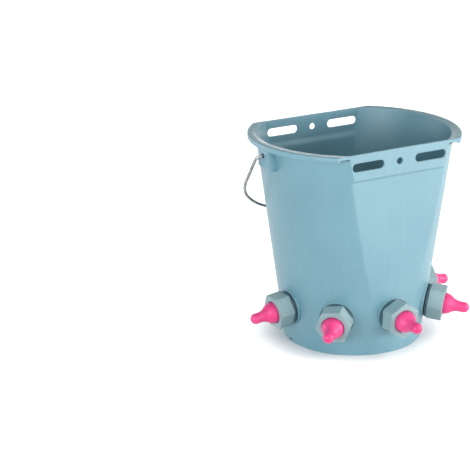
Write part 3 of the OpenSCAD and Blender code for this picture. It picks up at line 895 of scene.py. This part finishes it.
def spigot_points(cols=96):
    """Valve spigot: tail, flange with rounded edges, nose with a screw thread, and the stepped bore of the
    ball's chamber. The thread's groove is a clipped cosine that advances by one pitch a turn."""
    turn = np.linspace(0, 2 * np.pi, cols, endpoint=False)
    nose = np.linspace(nose_s + thread_start, nose_end_s - thread_stop, 54)
    rear, front = flange_rear_edge_r, flange_front_edge_r
    before = np.concatenate([
        line([inlet_r + tail_bevel, tail_end_s], [tail_r - tail_bevel, tail_end_s]),
        line([tail_r, tail_end_s + tail_bevel], [tail_r, gasket_t]),
        arc(flange_r - rear, gasket_t + rear, rear, -90, 0, 5),
        arc(flange_r - front, nose_s - front, front, 0, 90, 6),
        line([nose_r + nose_root, nose_s]),
    ])
    after = np.concatenate([
        line([nose_r - nose_bevel, nose_end_s], [cage_r + cage_bevel_r, nose_end_s]),
        line([cage_r, nose_end_s - cage_bevel_s], [cage_r, cage_seat_s], [chamber_r, cage_seat_s]),
        line([chamber_r, ball_seat_s], [inlet_r, inlet_s], [inlet_r, tail_end_s + tail_bevel]),
    ])
    phase = 2 * np.pi * nose[:, None] / thread_pitch - turn
    groove = thread_depth * np.clip(0.5 - thread_sharpness * np.cos(phase), 0, 1)
    fade = np.clip((nose - nose[0]) / thread_fade, 0, 1) * np.clip((nose[-1] - nose) / thread_fade, 0, 1)
    r = np.vstack([before[:, :1] + 0 * turn, nose_r - groove * fade[:, None], after[:, :1] + 0 * turn])
    return around(r, turn, np.concatenate([before[:, 1], nose, after[:, 1]])[:, None])


def gasket_profile():
    """Closed section of a wall gasket: flat ring whose outer edge bulges a little under the clamp."""
    low, high, flat_r = gasket_play, gasket_t - gasket_play, gasket_r - gasket_edge
    return np.concatenate([
        line([tail_hole_r, low], [flat_r, low]),
        arc(flat_r - gasket_play, gasket_t / 2, gasket_t / 2 - gasket_play, -80, 80, 9),
        line([flat_r, high], [tail_hole_r, high]),
    ])


def softened(profile, step=0.3, width=3):
    """A profile sampled at even steps, each point the mean of its neighbours up to width steps away, so that
    its arcs run into each other; its ends stay."""
    length = np.concatenate([[0], np.cumsum(np.linalg.norm(np.diff(profile, axis=0), axis=1))])
    at = np.linspace(0, length[-1], int(length[-1] / step))
    even = np.stack([np.interp(at, length, profile[:, k]) for k in (0, 1)], -1)
    kernel = np.ones(2 * width + 1) / (2 * width + 1)
    padded = np.concatenate([np.repeat(even[:1], width, 0), even, np.repeat(even[-1:], width, 0)])
    smooth = np.stack([np.convolve(padded[:, k], kernel, "valid") for k in (0, 1)], -1)
    from_end = np.minimum(np.arange(len(even)), np.arange(len(even))[::-1])
    return even + (smooth - even) * np.clip(from_end / (2 * width), 0, 1)[:, None]


def teat_profile():
    """Closed section of a teat: clamped flange, dome, curve into the neck, round tip with its outlet, and
    the hollow inside."""
    fillet_x, dome_x = neck_r + neck_fillet_r, dome_r - dome_arc_r
    rise = math.sqrt((dome_arc_r + neck_fillet_r) ** 2 - (fillet_x - dome_x) ** 2)
    meet = math.degrees(math.atan2(rise, fillet_x - dome_x))
    tip_low = -math.degrees(math.acos(neck_r / tip_r))
    tip_high = math.degrees(math.acos((outlet_r + outlet_edge) / tip_r))
    tip_end = tip_s + tip_r
    low, high, edge = teat_flange_low_s, teat_flange_high_s, teat_flange_edge_r
    flange = np.concatenate([
        line([teat_mouth_r, low]),
        arc(teat_flange_r - edge, low + edge, edge, -90, 0, 5),
        arc(teat_flange_r - edge, high - edge, edge, 0, 90, 5),
        line([dome_r + dome_foot_out, high]),
    ])
    body = np.concatenate([
        line([dome_r, high + dome_foot_up], [dome_r, dome_s]),
        arc(dome_x, dome_s, dome_arc_r, 0, meet, 24)[1:],
        arc(fillet_x, dome_s + rise, neck_fillet_r, 180 + meet, 180, 12)[1:],
        arc(0, tip_s, tip_r, tip_low, tip_high, 26),
    ])
    hollow = np.concatenate([
        line([outlet_r, tip_end - outlet_mouth_depth], [outlet_r, tip_end - outlet_depth]),
        line([hollow_end_r, tip_end - hollow_end_depth]),
        line([hollow_tip_r, tip_s], [hollow_neck_r, dome_s + rise]),
        line(*hollow_dome) + [0, dome_s],
        line([teat_mouth_r, high]),
    ])
    return np.concatenate([flange, softened(body), hollow])


for i in STATIONS:
    ring = placed(i, turned(gasket_profile(), 96))
    spigot = placed(i, spigot_points())
    inner_nut = placed(i, lock_nut_points())
    nut = placed(i, union_nut_points(nut_turns[i - 1]))
    teat = placed(i, turned(teat_profile(), 80))
    piece(f"wall_ring_{i}", [ring], "bucket", gasket_black, [f"wall_gasket_{i}"], 50.0)
    piece(f"spigot_{i}", [spigot], "bucket", spigot_slate_and_painted_shade, [f"valve_spigot_{i}"], 40.0)
    piece(f"inner_nut_{i}", [inner_nut], "bucket", fitting_grey, [f"lock_nut_{i}"], 35.0)
    piece(f"clamp_nut_{i}", [nut], f"nut_{i}", fitting_grey, [f"union_nut_{i}"], 35.0)
    piece(f"soft_teat_{i}", [teat], f"teat_{i}", teat_pink, [f"teat_{i}"], 55.0)
    for node in (f"valve_ball_{i}", f"ball_cage_{i}"):
        solid = frame["nodes"][node]
        solid.data.materials.clear()
        solid.data.materials.append(valve_white)


# Stage: the camera's place round the bucket's middle, and where the middle lies in its square picture
eye_azimuth = -33.709
eye_elevation = 17.967
eye_distance = 2089.542
eye_roll = -0.661
picture_px = 470
focal_px = 1683.298
middle_right_px = 117.964
middle_up_px = 4.318
sensor_mm = 36.0
floor_half_m = 6.0
floor_grey = 0.86
white = (1.0, 1.0, 1.0)
warm = (1.0, 0.92, 0.9)
cool = (0.92, 1.0, 1.03)


def axes_turned(first, second, angle):
    """Rotation that turns the first of three axes towards the second by an angle."""
    turn = np.eye(3)
    turn[[first, second], [first, second]] = math.cos(angle)
    turn[first, second], turn[second, first] = -math.sin(angle), math.sin(angle)
    return turn


def standing(place, axes):
    """Matrix of something at a place in metres with the given right, up and backward axes."""
    return Matrix.Translation(place) @ Matrix(axes.T.tolist()).to_4x4()


def photo_camera():
    """Camera of the photograph: on a ray from the bucket's middle at an azimuth and elevation, turned so
    that the middle lands beside the centre of the picture."""
    camera = bpy.data.cameras.new("photo_camera")
    camera.sensor_width = sensor_mm
    camera.lens = focal_px / picture_px * sensor_mm
    camera.clip_end = 50.0
    eye = linked("photo_camera", camera)
    bpy.context.scene.camera = eye
    back = direction(eye_azimuth, eye_elevation)
    yaw = axes_turned(0, 2, math.atan(middle_right_px / focal_px))
    pitch = axes_turned(1, 2, math.atan(middle_up_px / focal_px))
    roll = axes_turned(0, 1, math.radians(eye_roll))
    place = (back * eye_distance + [0, 0, rim_z / 2]) * METRES
    eye.matrix_world = standing(place, roll @ pitch @ yaw @ facing(back))


def area_lamp(name, azimuth, elevation, distance, width, height, watts, colour=white):
    """Soft lamp facing the bucket's middle, placed by its angles and its distance in metres."""
    lamp = bpy.data.lights.new(name, "AREA")
    lamp.shape, lamp.size, lamp.size_y = "RECTANGLE", width, height
    lamp.energy, lamp.color = watts, colour
    out = direction(azimuth, elevation)
    linked(name, lamp).matrix_world = standing(out * distance + [0, 0, rim_z / 2 * METRES], facing(out))


def seen_share(tree):
    """1 for rays from the camera, mirrored and passed-through ones, 0 for the rays that carry light."""
    path = tree.nodes.new("ShaderNodeLightPath")
    share = path.outputs["Is Camera Ray"]
    for name in ("Is Glossy Ray", "Is Transmission Ray"):
        larger = tree.nodes.new("ShaderNodeMath")
        larger.operation = "MAXIMUM"
        tree.links.new(share, larger.inputs[0])
        tree.links.new(path.outputs[name], larger.inputs[1])
        share = larger.outputs[0]
    return share


def white_world(ambient):
    """World that looks white and lights the scene weakly."""
    world = bpy.data.worlds.new("studio")
    bpy.context.scene.world = world
    world.use_nodes = True
    tree = world.node_tree
    lit = of_type(tree.nodes, "BACKGROUND")
    seen = tree.nodes.new("ShaderNodeBackground")
    for background, strength in ((lit, ambient), (seen, 1.0)):
        background.inputs["Color"].default_value = (*white, 1.0)
        background.inputs["Strength"].default_value = strength
    mix = tree.nodes.new("ShaderNodeMixShader")
    tree.links.new(seen_share(tree), mix.inputs["Fac"])
    tree.links.new(lit.outputs[0], mix.inputs[1])
    tree.links.new(seen.outputs[0], mix.inputs[2])
    tree.links.new(mix.outputs[0], of_type(tree.nodes, "OUTPUT_WORLD").inputs["Surface"])


def floor_with_painted_shadow(clear_m, white_m):
    """Pale floor that takes the real shadow and looks white away from the bucket: a glow that is seen but
    lights nothing grows from none at the radius clear_m to full at white_m, which leaves a painted contact
    shadow round the base."""
    pale = Finish("studio_floor")
    pale.set("Base Color", (floor_grey, floor_grey, floor_grey, 1.0))
    pale.set("Roughness", 0.9)
    pale.set("Specular IOR Level", 0.0)
    away = pale.node("ShaderNodeVectorMath", [(0, pale.place)], operation="LENGTH").outputs["Value"]
    reach = [("Value", away), ("From Min", clear_m), ("From Max", white_m)]
    # Painted contact shadow: inside the ring the floor gets no glow, so it stays darker round the base than the
    # real shadow alone makes it.
    ring = pale.node("ShaderNodeMapRange", reach, interpolation_type="SMOOTHSTEP").outputs["Result"]
    strength = pale.combined("MULTIPLY", seen_share(pale.tree), ring)
    glow = pale.node("ShaderNodeEmission", [("Strength", strength)]).outputs[0]
    both = pale.node("ShaderNodeAddShader", [(0, pale.shader.outputs[0]), (1, glow)]).outputs[0]
    pale.tree.links.new(both, of_type(pale.tree.nodes, "OUTPUT_MATERIAL").inputs["Surface"])
    mesh = bpy.data.meshes.new("floor")
    corners = [(x * floor_half_m, y * floor_half_m, 0) for x, y in ((-1, -1), (1, -1), (1, 1), (-1, 1))]
    mesh.from_pydata(corners, [], [(0, 1, 2, 3)])
    mesh.materials.append(pale.material)
    floor = linked("floor", mesh)


photo_camera()
area_lamp("low_strip", 34, -2, 0.75, 0.8, 0.15, 1.0, warm)
area_lamp("front_box", 10, 9, 2.0, 0.9, 0.5, 8.8)
area_lamp("right_box", 60, 9, 2.0, 0.9, 0.5, 20.5, warm)
area_lamp("right_high_box", 34, 40, 2.0, 0.9, 0.5, 8.4)
area_lamp("left_high_box", -30, 40, 2.4, 0.9, 0.6, 6.0)
area_lamp("left_box", -67, 12, 2.0, 1.2, 0.8, 21.0, cool)
area_lamp("rear_left_box", -140, 1, 2.0, 1.2, 0.4, 8.0)
area_lamp("rear_right_box", 150, 1, 2.0, 1.2, 0.4, 14.0)
white_world(ambient=0.06)
floor_with_painted_shadow(clear_m=0.07, white_m=0.15)
bpy.context.scene.view_settings.view_transform = "Standard"
